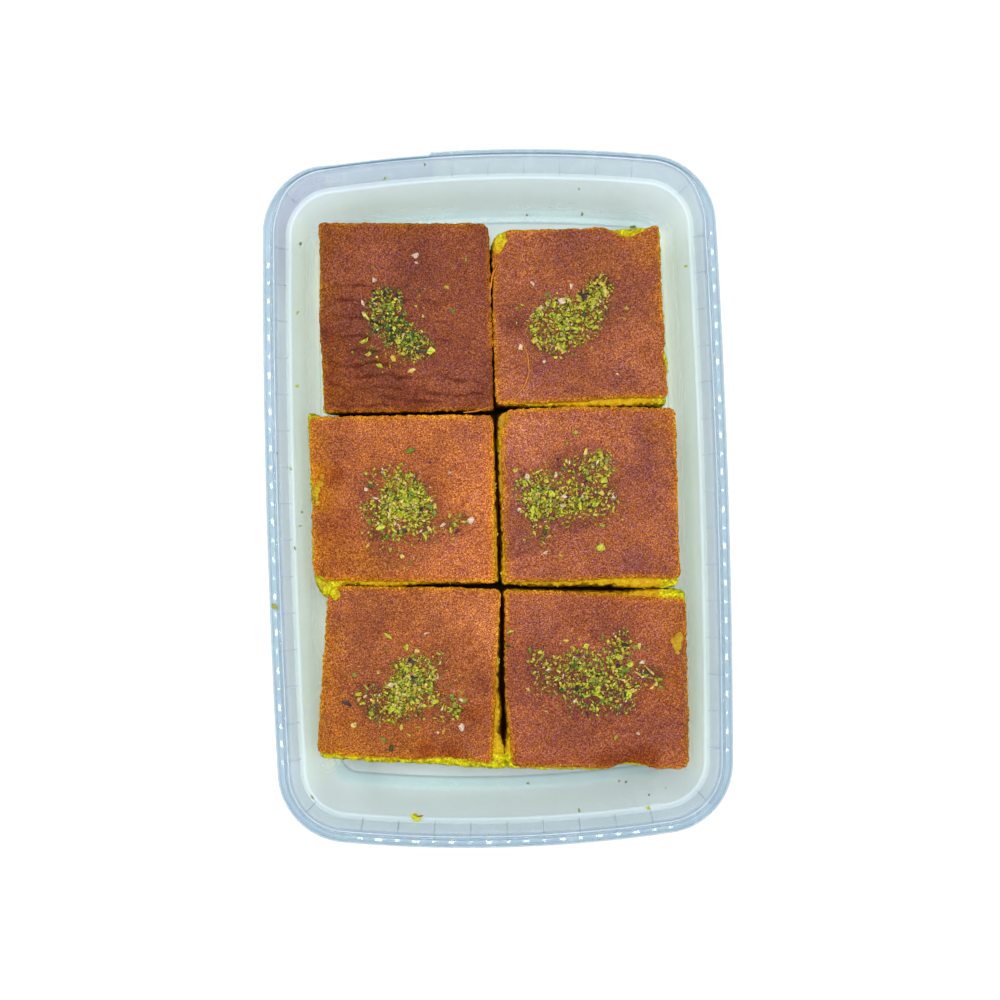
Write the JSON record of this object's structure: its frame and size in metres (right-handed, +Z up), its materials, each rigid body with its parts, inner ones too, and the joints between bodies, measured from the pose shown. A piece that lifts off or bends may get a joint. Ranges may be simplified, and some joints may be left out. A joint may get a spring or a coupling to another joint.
{
  "type": "syrup cake",
  "caption": "Cut squares of saffron syrup cake with a brown crust and ground pistachio, lying in an open clear plastic food tub.",
  "frame": {"origin": "bottom centre of the tub, on the plane that it stands on", "axes": "+Z up, +Y along the tub's length to its far end, +X across its width to the right"},
  "size_m": [0.1512, 0.228, 0.048],
  "materials": {
    "clear_plastic": "translucent polypropylene, smooth and slightly cloudy",
    "cake_crust": "fine-grained brown crust, moist with syrup, over yellow crumb",
    "cake_crumb": "open yellow sponge crumb, moist with syrup",
    "pistachio": "dry ground pistachio, lime green to dark green with pale and dark flecks",
    "saffron": "thin wet red-orange saffron threads"
  },
  "bodies": {
    "root": {"tub": "clear_plastic", "cake_back_left": "cake_crust", "cake_back_right": "cake_crust", "cake_middle_left": "cake_crust", "cake_middle_right": "cake_crust", "cake_front_left": "cake_crust", "cake_front_right": "cake_crust"}
  },
  "joints": []
}
